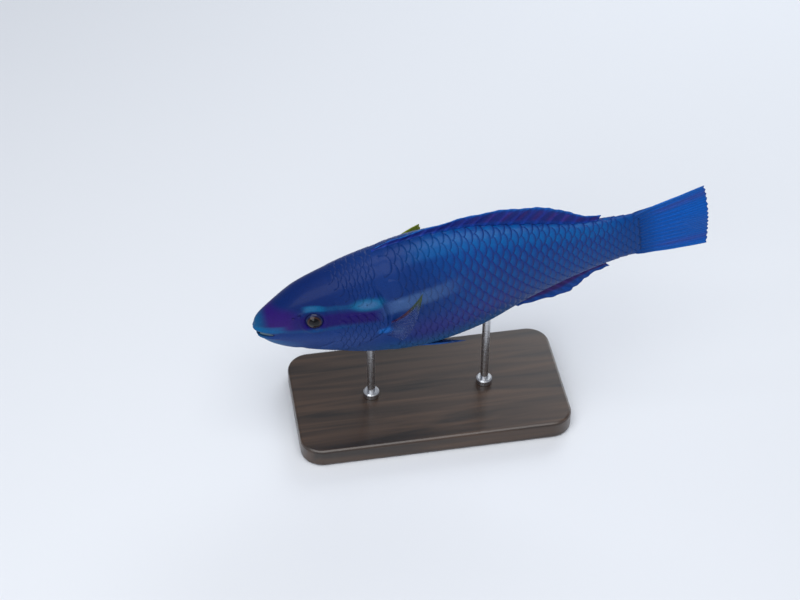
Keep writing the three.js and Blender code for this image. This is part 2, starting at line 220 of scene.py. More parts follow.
def make_object(name, points, faces):
    mesh = bpy.data.meshes.new(name)
    mesh.from_pydata([tuple(p) for p in points], [], [tuple(int(i) for i in f) for f in faces])
    mesh.shade_smooth()
    mesh.update()
    return new_object(name, mesh)


def vertex_places(thing):
    flat = np.empty(len(thing.data.vertices) * 3, np.float32)
    thing.data.vertices.foreach_get("co", flat)
    return flat.reshape(-1, 3).astype(float)


def as_plain_mesh(thing):
    """This object with its modifiers made part of a plain mesh."""
    evaluated = thing.evaluated_get(bpy.context.evaluated_depsgraph_get())
    mesh = bpy.data.meshes.new_from_object(evaluated)
    name = thing.name
    bpy.data.objects.remove(thing)
    mesh.name = name
    return new_object(name, mesh)


def store(thing, name, values, kind="FLOAT"):
    """Keeps one value for each vertex: FLOAT, FLOAT_VECTOR or FLOAT_COLOR."""
    layer = thing.data.attributes.new(name, kind, "POINT")
    flat = np.asarray(values, np.float32)
    if kind == "FLOAT_COLOR":
        flat = np.concatenate([flat, np.ones((len(flat), 1), np.float32)], 1)
    key = {"FLOAT": "value", "FLOAT_VECTOR": "vector", "FLOAT_COLOR": "color"}[kind]
    layer.data.foreach_set(key, flat.ravel())


def lattice_faces(rows, columns, wrap=False):
    """Quads of a grid of points kept row by row."""
    i, j = np.meshgrid(np.arange(rows - 1), np.arange(columns if wrap else columns - 1), indexing="ij")
    here, beyond, k = i * columns, (i + 1) * columns, (j + 1) % columns
    return np.stack([here + j, here + k, beyond + k, beyond + j], -1).reshape(-1, 4)


def hide_solids(piece, nodes):
    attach(piece, "root")
    if nodes:
        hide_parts(*nodes)


# Colours, as seen in the photograph under soft light

TONE = 0.62  # the paint is this much darker than it looks under the studio's lights


def rgb(r, g, b):
    """Linear paint for a colour seen as screen values of 0 to 255."""
    c = np.array([r, g, b], float) / 255
    return TONE * np.where(c <= 0.04045, c / 12.92, ((c + 0.055) / 1.055) ** 2.4)


BACK_BLUE = rgb(2, 80, 162)
FLANK_BLUE = rgb(14, 64, 144)
REAR_BLUE = rgb(4, 76, 160)
SLATE = rgb(20, 60, 134)
NAPE_BLUE = rgb(8, 42, 112)
LAVENDER = rgb(54, 82, 150)
BELLY_BLUE = rgb(48, 104, 162)
ROSE = rgb(64, 48, 138)
VIOLET = rgb(32, 12, 112)
MAGENTA = rgb(62, 22, 124)
TEAL = rgb(4, 104, 158)
PATCH_TEAL = rgb(10, 122, 172)
CYAN = rgb(16, 116, 176)
PALE = rgb(92, 130, 188)
BRIGHT = rgb(28, 118, 214)
UNDER_FIN_BLUE = rgb(10, 104, 180)
TAIL_BLUE = rgb(0, 104, 214)
FIN_BLUE = rgb(16, 66, 164)
ROSE_EDGE = rgb(66, 44, 138)
SCALE_HEART = rgb(16, 112, 190)
MOUTH_RED = rgb(70, 30, 44)
BEAK_PALE, BEAK_BLUE = rgb(120, 146, 156), rgb(24, 92, 130)
EYE_RIM, IRIS, IRIS_RING, PUPIL = rgb(26, 40, 92), rgb(40, 26, 32), rgb(128, 80, 44), rgb(4, 4, 8)


def blend(under, over, mask):
    return under + (over - under) * np.clip(mask, 0, 1)[..., None]


def flat_paint(colour, like):
    """One colour at every point of an array."""
    return np.broadcast_to(colour, np.shape(like) + (3,)).copy()


def ribbon(x, z, band):
    """A mask that follows a band's line, with soft ends."""
    line, half, start, end, fade = band
    off = np.abs(z - line(x)) / half
    begun = smooth(x, start - fade, start + fade)
    return (1 - smooth(off, 0.55, 1.25)) * begun * (1 - smooth(x, end - fade, end + fade))


def oval(x, z, mark):
    (at, high), (long, tall) = mark
    return np.exp(-(((x - at) / long) ** 2 + ((z - high) / tall) ** 2))


def eye_band_line(share):
    return EYE_LINE - 0.0105 - 0.02 * (share - EYE_AT)


# Bands: their middle line, half height, first and last place behind the snout, and fade
EYE_LINE = 0.01
SNOUT_BAND = (lambda s: 0.004, 0.026, 0.022, 0.09, 0.02)
EYE_BAND = (eye_band_line, 0.0185, 0.09, 0.266, 0.018)
UNDER_EYE = (lambda s: eye_band_line(s) - 0.022, 0.0045, 0.04, 0.2, 0.03)
OVER_EYE = (lambda s: EYE_LINE + 0.0225 - 5.0 * (s - EYE_AT) ** 2, 0.006, 0.112, 0.155, 0.01)
BEHIND_EYE = (lambda s: EYE_LINE + 0.0185 - 0.05 * (s - 0.16), 0.0055, 0.15, 0.25, 0.02)
UPPER_LIP = (lambda s: MOUTH_Z + 0.012 + 0.14 * (s - 0.02), 0.0085, -0.02, 0.062, 0.014)
CHIN = (lambda s: MOUTH_Z - 0.019 - 0.2 * s, 0.014, -0.01, 0.085, 0.02)
PALE_STRIPE = (lambda s: 0.006 + 0.16 * (s - 0.29), 0.018, 0.285, 0.44, 0.03)
UNDER_DORSAL = (lambda s: back(s) - 0.016, 0.014, 0.36, 0.78, 0.05)

# Oval marks: the middle and the size, each as a distance behind the snout and a height
GILL_PATCH = ((0.246, 0.0255), (0.038, 0.0165))
FIN_SPOT = ((0.272, -0.053), (0.019, 0.012))
FIN_WEDGE = ((0.3, -0.062), (0.016, 0.014))


def paint_ground(x, high):
    """The broad colours; high runs from 0 at the belly to 1 at the back."""
    low, ahead = 1 - smooth(high, 0.3, 0.52), 1 - smooth(x, 0.5, 0.62)
    colour = flat_paint(FLANK_BLUE, x)
    colour = blend(colour, BACK_BLUE, smooth(high, 0.66, 0.92) * smooth(x, 0.3, 0.42))
    colour = blend(colour, REAR_BLUE, smooth(x, 0.52, 0.72))
    colour = blend(colour, SLATE, (1 - smooth(x, 0.3, 0.5)) * smooth(high, 0.3, 0.6))
    colour = blend(colour, NAPE_BLUE, (1 - smooth(x, 0.12, 0.3)) * smooth(high, 0.5, 0.75))
    colour = blend(colour, ROSE, 0.55 * low * smooth(x, 0.28, 0.36) * ahead)
    colour = blend(colour, BELLY_BLUE, (1 - smooth(high, 0.08, 0.3)) * ahead)
    return blend(colour, LAVENDER, 0.75 * (1 - smooth(x, 0.2, 0.31)) * (1 - smooth(high, 0.3, 0.5)))


def paint_head(colour, x, z):
    snout, patch = ribbon(x, z, SNOUT_BAND), oval(x, z, GILL_PATCH)
    colour = blend(colour, MAGENTA, 0.8 * snout)
    colour = blend(colour, VIOLET, 0.5 * snout * smooth(z, -0.005, 0.03))
    colour = blend(colour, VIOLET, 0.95 * ribbon(x, z, EYE_BAND))
    for band, strength in ((UNDER_EYE, 0.28), (OVER_EYE, 0.9), (BEHIND_EYE, 0.38)):
        colour = blend(colour, TEAL, strength * ribbon(x, z, band))
    colour = blend(colour, PATCH_TEAL, 0.85 * smooth(patch, 0.2, 0.75))
    colour = blend(colour, PALE, 0.55 * smooth(patch, 0.55, 0.95))
    colour = blend(colour, TEAL, 0.8 * (1 - smooth(x, 0.004, 0.036)))
    colour = blend(colour, CYAN, 0.6 * ribbon(x, z, UPPER_LIP))
    return blend(colour, CYAN, 0.6 * ribbon(x, z, CHIN) * (1 - 0.6 * smooth(x, 0.03, 0.07)))


def paint_flank(colour, x, z):
    """The marks behind the gill cover and the bright line under the dorsal fin."""
    colour = blend(colour, PALE, 0.62 * ribbon(x, z, PALE_STRIPE) * (1 - 0.6 * smooth(x, 0.34, 0.46)))
    colour = blend(colour, BRIGHT, smooth(oval(x, z, FIN_SPOT), 0.3, 0.7))
    colour = blend(colour, PALE, 0.4 * smooth(oval(x, z, FIN_WEDGE), 0.3, 0.9))
    return blend(colour, UNDER_FIN_BLUE, 0.7 * ribbon(x, z, UNDER_DORSAL))


def height_share(x, z):
    """0 on the belly's line and 1 on the back's."""
    top, low = back(x), belly(x)
    return (z - low) / np.maximum(top - low, 1e-4)


def paint_body(p):
    """The skin's colour at points in the fish's own axes."""
    x, z = p[..., 0], p[..., 2]
    colour = paint_ground(x, height_share(x, z))
    return paint_flank(paint_head(colour, x, z), x, z)


# The skin: one surface from lips to tail, closed at both ends

AROUND, HEAD_RINGS, BODY_RINGS = 256, 112, 118
EDGE_BAND, EDGE_RINGS = (-0.006, 0.009), 20  # closer rings on both sides of the gill edge
LIP_HIGH, LIP_OFF, LIP_WIDE = 0.9 * MM, 2.6 * MM, 1.3 * MM
ORBIT_HIGH, ORBIT_DEEP = 0.7 * MM, 2.0 * MM  # the rim round the eye and the socket inside it
COVER_HIGH, GROOVE_DEEP, CREASE_DEEP = 1.0 * MM, 0.8 * MM, 0.45 * MM  # gill cover, its gap, the cheek's fold
CHEEK_HIGH, CHIN_DEEP, LOBE_HIGH = 0.8 * MM, 0.5 * MM, 1.2 * MM
NOSTRILS = ((0.1, 63, 0.85), (0.086, 64, 0.65))  # behind the snout, degrees from the back, radius in mm
NOSTRIL_RIM, NOSTRIL_DEEP = 0.35 * MM, 1.3 * MM


def degrees_mask(angle, lo, hi):
    return smooth(angle, math.radians(lo), math.radians(hi))


def beside_eye(x, z):
    """Distance from the eye's middle in the side view, as a share of the length."""
    eye = body_point(EYE_AT, EYE_ANGLE)
    return np.hypot(x - eye[0], z - eye[2])


def relief(share, angle):
    """How far the skin stands out from the plain body, in metres."""
    p = body_point(share, angle)
    x, z = p[..., 0], p[..., 2]
    lips = LIP_HIGH * bell(np.abs(z - MOUTH_Z) * LENGTH, LIP_OFF, LIP_WIDE) * (1 - smooth(x, 0.03, 0.055))
    a = from_back(angle)
    away = beside_eye(x, z) * LENGTH
    orbit = ORBIT_HIGH * bell(away, EYE_RADIUS + 1.4 * MM, 1.5 * MM)
    socket = ORBIT_DEEP * (1 - smooth(away, 4.2 * MM, 6.0 * MM))
    edge = gill_edge(angle)
    span = degrees_mask(a, 50, 66) * (1 - degrees_mask(a, 128, 150))
    before = edge - x
    cover = COVER_HIGH * smooth(before, -0.0006, 0.0012) * (1 - 0.75 * smooth(before, 0.012, 0.08)) * span
    groove = GROOVE_DEEP * bell(before, -0.0035, 0.003) * (0.2 + 0.8 * span)
    crease = CREASE_DEEP * bell(x, 0.62 * edge + 0.012, 0.004) * span
    cheek = CHEEK_HIGH * oval(x, a, ((0.14, math.radians(108)), (0.04, 0.3)))
    chin = CHIN_DEEP * bell(x, 0.088, 0.008) * degrees_mask(a, 125, 150)
    lobe = LOBE_HIGH * oval(x, z, ((0.279, -0.04), (0.012, 0.022)))
    return lips + orbit - socket + cover - groove - crease + cheek - chin + lobe


def nostrils(points):
    """Sinks the two nostrils of each side and raises their rims."""
    out = np.zeros(points.shape[:-1])
    for at, tilt, radius in NOSTRILS:
        for side in (1, -1):
            hole = body_point(at, side * math.radians(tilt))
            away = np.linalg.norm(points - hole, axis=-1) * LENGTH
            out += NOSTRIL_RIM * bell(away, radius * 1.35 * MM, 0.45 * MM)
            out -= NOSTRIL_DEEP * (1 - smooth(away, 0.3 * MM, radius * MM))
    return out


def skin_point(share, angle):
    """A point on the skin's surface, in the fish's own axes."""
    share, angle = np.broadcast_arrays(np.asarray(share, float), np.asarray(angle, float))
    plain = body_point(share, angle)
    tuck = COAT * smooth(share, 0.0, 0.04)
    up = relief(share, angle) + nostrils(plain) - tuck
    n = body_normal(np.maximum(share, 1e-4), angle)
    return plain + n * (up / LENGTH)[..., None]


def make_skin():
    angle = np.arange(AROUND) * (2 * np.pi / AROUND)
    edge = gill_edge(angle)
    before, behind = EDGE_BAND
    rows = [(edge + before) * t**2 for t in np.linspace(0.035, 1, HEAD_RINGS)]
    rows += [edge + step for step in np.linspace(before, behind, EDGE_RINGS)[1:]]
    rows += [mix(edge + behind, FIN_ROOT, t**0.92) for t in np.linspace(0, 1, BODY_RINGS + 1)[1:]]
    share = np.array(rows)
    grid = skin_point(share, np.broadcast_to(angle, share.shape))
    points = grid.reshape(-1, 3)
    front = np.array([[0.0, 0.0, MOUTH_Z * 0.45]])
    rear = np.array([[FIN_ROOT + 0.002, 0.0, 0.0]])
    points = np.concatenate([points, front, rear])
    count, rings = AROUND, len(rows)
    faces = list(lattice_faces(rings, count, wrap=True))
    nose, end = rings * count, rings * count + 1
    last = (rings - 1) * count
    for j in range(count):
        k = (j + 1) % count
        faces.append((nose, k, j))
        faces.append((end, last + j, last + k))
    whole = make_object("skin", to_stand(points), faces)
    slot = mouth_slot()
    cut = whole.modifiers.new("mouth", "BOOLEAN")
    cut.operation, cut.solver, cut.object = "DIFFERENCE", "EXACT", slot
    skin = as_plain_mesh(whole)
    bpy.data.objects.remove(slot)
    p = from_stand(vertex_places(skin))
    colour = blend(paint_body(p), MOUTH_RED, smooth(in_mouth(p), 0.02, 0.2))
    store(skin, "paint", colour, "FLOAT_COLOR")
    return skin


MOUTH_DEEP, MOUTH_WIDE, MOUTH_HIGH = 15 * MM, 14 * MM, 1.9 * MM


def ellipsoid(rings, around):
    """Points of a ball of radius 1 with its poles on Z, and its faces."""
    t = np.linspace(0, np.pi, rings + 1)[1:-1]
    a = np.arange(around) * (2 * np.pi / around)
    T, A = np.meshgrid(t, a, indexing="ij")
    ball = np.stack([np.sin(T) * np.cos(A), np.sin(T) * np.sin(A), np.cos(T)], -1).reshape(-1, 3)
    points = np.concatenate([ball, [[0, 0, 1.0], [0, 0, -1.0]]])
    faces = [f[::-1] for f in lattice_faces(rings - 1, around, wrap=True)]
    top, low = len(points) - 2, len(points) - 1
    last = (rings - 2) * around
    for j in range(around):
        k = (j + 1) % around
        faces.append((top, j, k))
        faces.append((low, last + k, last + j))
    return points, faces


def mouth_slot():
    ball, faces = ellipsoid(24, 96)
    size = np.array([MOUTH_DEEP, MOUTH_WIDE, MOUTH_HIGH]) / LENGTH
    return make_object("mouth_slot", to_stand(ball * size + [0, 0, MOUTH_Z]), faces)


def in_mouth(p):
    """How far a point lies inside the lips, from 0 at the skin to 1 at the back of the mouth."""
    off = (p - [0, 0, MOUTH_Z]) * LENGTH / [MOUTH_DEEP, MOUTH_WIDE, MOUTH_HIGH]
    near = 1 - smooth(np.linalg.norm(off, axis=-1), 1.01, 1.06)
    mid, half = middle_and_half(p[:, 0])
    across = np.abs(p[:, 1]) / np.maximum(profile(p[:, 0], 3), 1e-4)
    depth = 1 - (across**ROUNDNESS + np.abs((p[:, 2] - mid) / np.maximum(half, 1e-4)) ** ROUNDNESS)
    return near * np.clip(depth, 0, 1)


BITE_FRONT, BITE_BACK = 0.006, 0.036
BITE_INSET, BITE_THICK, BITE_HIGH = 1.1 * MM, 1.5 * MM, 3.1 * MM
BITE_TEETH, NOTCH_DEEP, BITE_CROWN = 22, 0.16 * MM, 0.5 * MM
BITE_ACROSS, BITE_TALL = 132, 14  # rows of faces


def bite_line(t, inset):
    """The beak's outline seen from above, for t from -1 on the right side to 1 on the left."""
    share = mix(BITE_FRONT, BITE_BACK, t**2) + inset / LENGTH * (1 - t**2)
    mid, half = middle_and_half(share)
    wide = profile(share, 3) * (1 - np.abs((MOUTH_Z - mid) / half) ** ROUNDNESS) ** (1 / ROUNDNESS)
    return share, -np.sign(t) * np.maximum(wide - inset / LENGTH, 0.0)


def make_beak(name, up, finish):
    """A plate of fused teeth: crowned outside, its edge lightly notched. up is 1 above and -1 below."""
    t = np.linspace(-1, 1, BITE_ACROSS + 1)
    ring = np.linspace(0, 1, BITE_TALL + 1)
    notch = NOTCH_DEEP * np.abs(np.sin(t * BITE_TEETH * np.pi / 2)) ** 0.6
    section = [(0, h) for h in ring] + [(1, h) for h in ring[::-1]]  # outside, then inside
    rows = []
    for wall, h in section:
        edge = 0.12 * MM + (NOTCH_DEEP - notch) * (1 - h) ** 3
        z = edge + h * (BITE_HIGH - edge)
        crown = BITE_CROWN * (1 - (1 - 2 * h) ** 2) if wall == 0 else 0
        bevel = 0.25 * MM * (1 - h) * (1 - wall)
        share, side = bite_line(t, BITE_INSET + wall * BITE_THICK - crown + bevel)
        rows.append(np.stack([share, side, MOUTH_Z + up * z / LENGTH], -1))
    grid = np.array(rows)
    count, loop = BITE_ACROSS + 1, len(rows)
    seam = lattice_faces(2, count)
    wrap = np.where(seam >= count, seam - count, seam + (loop - 1) * count)
    faces = list(lattice_faces(loop, count)) + list(wrap)
    faces.append([k * count for k in range(loop)])
    faces.append([k * count + BITE_ACROSS for k in range(loop)][::-1])
    beak = make_object(name, to_stand(grid.reshape(-1, 3)), [f if up > 0 else f[::-1] for f in faces])
    h = np.repeat([h for _, h in section], count)
    store(beak, "paint", blend(flat_paint(BEAK_PALE, h), BEAK_BLUE, smooth(h, 0.15, 0.5)), "FLOAT_COLOR")
    give(beak, finish)
    return beak


SCALE_PATCH = 0.003  # the size of each scale's patch on the map


def sheet_map(share, angle):
    """Where a place on the body lies on its unwrapped skin, both from 0 to 1."""
    turn = np.arctan2(np.sin(angle), np.cos(angle))
    return np.stack([0.05 + share, 0.5 + turn / (2 * np.pi) * 0.9], -1)


# Scales: broad, overlapping from head to tail, laid by a node tree that fits each to the skin

SCALE_PITCH, SCALE_ROW = 0.0237, 0.0365  # along and across
SCALE_LONG, SCALE_TALL = 1.62, 1.42  # each scale's size beside those
SCALE_ACROSS, SCALE_ALONG = 8, 4  # its rows of faces
SCALE_UNDER = -0.5  # its underside, as a share of the free edge's height
SCALE_ROOT = -0.16 * MM  # the roots are sunk in the skin
BODY_EDGE, HEAD_EDGE = 0.4 * MM, 0.26 * MM  # how high the free edges stand
FIRST_COLUMN, LAST_COLUMN = 0.262, FIN_ROOT - 0.012
HEAD_SCALE = 0.72  # the head's scales beside those of the body
HEAD_COLUMN, HEAD_COLUMNS = 0.135, 14
BARE_EYE = 0.046  # no scales this near the eye


def rear_pitch(share):
    """How much closer the columns lie towards the tail."""
    return mix(1.0, 0.82, smooth(share, 0.55, 0.8))


def rear_size(share):
    return mix(1.0, 0.72, smooth(share, 0.45, 0.8))


def arc_places(share, side):
    """Angles and distances down from the back, along one side of a section."""
    angle = np.linspace(0.0, math.pi, 241)
    p = body_point(np.full_like(angle, share), side * angle)
    step = np.linalg.norm(np.diff(p, axis=0), axis=1)
    return angle, np.concatenate([[0], np.cumsum(step)])


def column_turns(share, side, column, size, rows, margin):
    """Angles of one column's scales, every other column half a row lower."""
    angle, down = arc_places(share, side)
    middle = np.interp(math.radians(90), angle, down)
    for row in range(-rows, rows + 1):
        at = middle + (row + 0.5 * (column % 2)) * SCALE_ROW * size
        if margin <= at <= down[-1] - 0.004:
            yield float(np.interp(at, down, angle))


def scale_roots():
    """Share, angle and size of every scale behind the gill edge, row by row along each side."""
    places = []
    column, share = 0, FIRST_COLUMN
    while share < LAST_COLUMN:
        size = rear_size(share)
        for side in (1, -1):
            for turn in column_turns(share, side, column, size, 7, 0.004):
                if share >= gill_edge(turn) + 0.008 * (turn > math.radians(48)):
                    places.append((share, side * turn, size))
        share += SCALE_PITCH / 2 * rear_pitch(share)
        column += 1
    return np.array(places)


def bears_scales(share, turn):
    """Whether a place before the gill edge is on the scaled nape, cheek or gill cover."""
    tilt = math.degrees(turn)
    p = body_point(share, turn)
    nape = tilt < 64 and share > 0.15 + 0.0006 * tilt
    cheek = 84 < tilt < 138 and share > 0.15
    margin = 0.008 if tilt < 48 else 0.0285
    return beside_eye(p[0], p[2]) >= BARE_EYE and share < gill_edge(turn) - margin and (nape or cheek)


def head_scale_roots():
    """Share, angle and size of every scale before the gill edge."""
    places = []
    for column in range(HEAD_COLUMNS):
        share = HEAD_COLUMN + column * (SCALE_PITCH / 2 * HEAD_SCALE)
        for side in (1, -1):
            for turn in column_turns(share, side, column, HEAD_SCALE, 8, 0.003):
                if bears_scales(share, turn):
                    places.append((share, side * turn, HEAD_SCALE))
    return np.array(places)


def scale_blank():
    """One closed scale, root at x 0 and free edge at x 1, y across, with its height in an attribute."""
    wide, long = SCALE_ACROSS, SCALE_ALONG
    steps = 1 - (1 - np.linspace(0, 1, long + 1)) ** 1.4
    v, u = np.meshgrid(np.linspace(-1, 1, wide + 1), steps, indexing="ij")
    reach = np.sqrt(np.clip(1 - np.abs(v) ** 2.3, 0, 1))
    x = u * mix(0.42, 1.0, reach)
    y = v * mix(0.62, 1.0, np.sin(np.clip(u * 1.9, 0, np.pi / 2)))
    sheet = np.stack([x, y * 0.5, np.zeros_like(x)], -1).reshape(-1, 3)
    count = len(sheet)
    quads = lattice_faces(wide + 1, long + 1)
    faces = list(quads) + [q[::-1] + count for q in quads]
    rim = [i * (long + 1) + j for i, j in grid_rim(wide, long)]
    for here, there in zip(rim, rim[1:] + rim[:1]):
        faces.append((here, there, there + count, here + count))
    blank = make_object("scale_blank", np.concatenate([sheet, sheet]), faces)
    lift = smooth(x, 0.05, 0.9)
    store(blank, "lift", np.concatenate([lift.ravel(), np.full(count, SCALE_UNDER)]))
    local = np.stack([u - 0.5, v * 0.5, np.zeros_like(u)], -1).reshape(-1, 3)
    store(blank, "local", np.concatenate([local, local]), "FLOAT_VECTOR")
    return blank


def node_input(tree, name, kind, value=None):
    socket = tree.interface.new_socket(name, in_out="INPUT", socket_type=kind)
    if value is not None:
        socket.default_value = value


def scale_tree():
    """Lays one scale on each point, turned along it, then drops every vertex to its height over the skin."""
    tree = bpy.data.node_groups.new("lay_scales", "GeometryNodeTree")
    node_input(tree, "Roots", "NodeSocketGeometry")
    node_input(tree, "Scale", "NodeSocketObject")
    node_input(tree, "Skin", "NodeSocketObject")
    node_input(tree, "Free Edge Height", "NodeSocketFloat", BODY_EDGE)
    node_input(tree, "Root Height", "NodeSocketFloat", SCALE_ROOT)
    node_input(tree, "Patch", "NodeSocketFloat", SCALE_PATCH)
    node_input(tree, "Finish", "NodeSocketMaterial")
    tree.interface.new_socket("Scales", in_out="OUTPUT", socket_type="NodeSocketGeometry")
    new, link = tree.nodes.new, tree.links.new
    inlet, outlet = new("NodeGroupInput"), new("NodeGroupOutput")

    def attribute(name, kind):
        node = new("GeometryNodeInputNamedAttribute")
        node.data_type = kind
        node.inputs["Name"].default_value = name
        return node.outputs["Attribute"]

    def picked(name):
        node = new("GeometryNodeObjectInfo")
        node.transform_space = "RELATIVE"
        link(inlet.outputs[name], node.inputs["Object"])
        return node

    def summed(first, second):
        node = new("ShaderNodeVectorMath")
        link(first, node.inputs[0])
        link(second, node.inputs[1])
        return node.outputs[0]

    def scaled(vector, factor):
        node = new("ShaderNodeVectorMath")
        node.operation = "SCALE"
        link(vector, node.inputs[0])
        link(factor, node.inputs["Scale"])
        return node.outputs[0]

    face = new("FunctionNodeAxesToRotation")
    face.primary_axis, face.secondary_axis = "Z", "X"
    link(attribute("out", "FLOAT_VECTOR"), face.inputs["Primary Axis"])
    link(attribute("along", "FLOAT_VECTOR"), face.inputs["Secondary Axis"])
    lay = new("GeometryNodeInstanceOnPoints")
    link(inlet.outputs["Roots"], lay.inputs["Points"])
    link(picked("Scale").outputs["Geometry"], lay.inputs["Instance"])
    link(face.outputs["Rotation"], lay.inputs["Rotation"])
    link(attribute("size", "FLOAT_VECTOR"), lay.inputs["Scale"])
    real = new("GeometryNodeRealizeInstances")
    link(lay.outputs["Instances"], real.inputs["Geometry"])

    place, skin = new("GeometryNodeInputPosition"), picked("Skin")
    samples = {}
    for name, source in (("spot", "GeometryNodeInputPosition"), ("way", "GeometryNodeInputNormal")):
        sample = new("GeometryNodeSampleNearestSurface")
        sample.data_type = "FLOAT_VECTOR"
        link(skin.outputs["Geometry"], sample.inputs["Mesh"])
        link(new(source).outputs[0], sample.inputs["Value"])
        link(place.outputs["Position"], sample.inputs["Sample Position"])
        samples[name] = sample.outputs["Value"]
    height = new("ShaderNodeMapRange")
    height.clamp = False
    link(attribute("lift", "FLOAT"), height.inputs["Value"])
    link(inlet.outputs["Root Height"], height.inputs["To Min"])
    link(inlet.outputs["Free Edge Height"], height.inputs["To Max"])
    drop = new("GeometryNodeSetPosition")
    link(real.outputs["Geometry"], drop.inputs["Geometry"])
    link(summed(samples["spot"], scaled(samples["way"], height.outputs["Result"])), drop.inputs["Position"])

    patch = scaled(attribute("local", "FLOAT_VECTOR"), inlet.outputs["Patch"])
    keep = new("GeometryNodeStoreNamedAttribute")
    keep.data_type, keep.domain = "FLOAT2", "CORNER"
    keep.inputs["Name"].default_value = "OFBake"
    link(drop.outputs["Geometry"], keep.inputs["Geometry"])
    link(summed(attribute("root_map", "FLOAT_VECTOR"), patch), keep.inputs["Value"])
    finish = new("GeometryNodeSetMaterial")
    link(keep.outputs["Geometry"], finish.inputs["Geometry"])
    link(inlet.outputs["Finish"], finish.inputs["Material"])
    link(finish.outputs["Geometry"], outlet.inputs["Scales"])
    return tree


def set_inputs(modifier, **values):
    """Sets a node modifier's inputs by their identifiers."""
    for socket in modifier.node_group.interface.items_tree:
        key = socket.name.replace(" ", "_").lower()
        if socket.in_out == "INPUT" and key in values:
            modifier[socket.identifier] = values[key]


def solidified(thing, tree, **values):
    """A plain mesh of what a node tree makes of this object, under the object's name."""
    modifier = thing.modifiers.new("form", "NODES")
    modifier.node_group = tree
    set_inputs(modifier, **values)
    return as_plain_mesh(thing)


def make_scales(name, roots, edge_high, skin, finish, tree, blank):
    share, angle, size = roots.T
    spot = skin_point(share, angle)
    step = 2e-3
    along = skin_point(share + step, angle) - skin_point(share - step, angle)
    points = make_object(name, to_stand(spot), [])
    store(points, "along", turn_to_stand(along), "FLOAT_VECTOR")
    store(points, "out", turn_to_stand(body_normal(share, angle)), "FLOAT_VECTOR")
    shorter = np.minimum(rear_pitch(share), mix(1, size, share < FIRST_COLUMN))
    long = SCALE_PITCH * SCALE_LONG * LENGTH * shorter
    tall = SCALE_ROW * SCALE_TALL * LENGTH * size
    store(points, "size", np.stack([long, tall, tall], -1), "FLOAT_VECTOR")
    place = sheet_map(share, angle)
    store(points, "root_map", np.concatenate([place, np.zeros((len(place), 1))], 1), "FLOAT_VECTOR")
    scales = solidified(points, tree, scale=blank, skin=skin, finish=finish,
                        free_edge_height=edge_high, root_height=SCALE_ROOT, patch=SCALE_PATCH)
    paint_scales(scales)
    give(scales, finish)
    hide_solids(scales, [])


def read_vectors(thing, name):
    data = thing.data.attributes[name].data
    flat = np.empty(len(data) * 3, np.float32)
    data.foreach_get("vector", flat)
    return flat.reshape(-1, 3)


def from_stand(points):
    c, s = math.cos(NOSE_DOWN), math.sin(NOSE_DOWN)
    x, z = points[:, 0], points[:, 2] - AXIS_HEIGHT
    return np.stack([x * c + z * s + BALANCE * LENGTH, points[:, 1], -x * s + z * c], -1) / LENGTH


def paint_scales(scales):
    """Skin colour, with a cyan middle and a rose free edge on the rear flank; elsewhere each free edge is
    painted a little darker as painted shade.
    """
    p = from_stand(vertex_places(scales))
    local = read_vectors(scales, "local")
    u, v = local[:, 0] + 0.5, local[:, 1] * 2
    x = p[:, 0]
    rear = smooth(x, 0.36, 0.5) * (1 - smooth(x, 0.74, 0.86)) * smooth(height_share(x, p[:, 2]), 0.12, 0.35)
    heart = oval(u, v, ((0.62, 0), (0.24, 0.6)))
    edge = smooth(u, 0.8, 0.97)
    colour = blend(paint_body(p), SCALE_HEART, 0.6 * rear * heart)
    colour = blend(colour, ROSE_EDGE, 0.45 * rear * edge)
    # Outside the rear flank the free edge is 8% darker: painted shade along the step where each scale
    # overlaps the next.
    store(scales, "paint", colour * (1 - 0.08 * edge * (1 - rear))[:, None], "FLOAT_COLOR")


# Fins: a membrane between rays that branch towards the margin

def grid_rim(columns, rows):
    """Places round the edge of a grid, in order."""
    rim = [(i, 0) for i in range(columns)] + [(columns, j) for j in range(rows)]
    return rim + [(i, rows) for i in range(columns, 0, -1)] + [(0, j) for j in range(rows, 0, -1)]


def ray_ridge(gap, out, branches):
    """How high the rays stand, from 0 to 1; gap is the distance from the nearest ray's middle."""
    split = 0.22 * smooth(out, *branches)
    fork = np.minimum(np.abs(gap - split), np.abs(gap + split))
    return np.clip(1 - (fork / mix(0.17, 0.1, out)) ** 2, 0, 1) ** 0.5


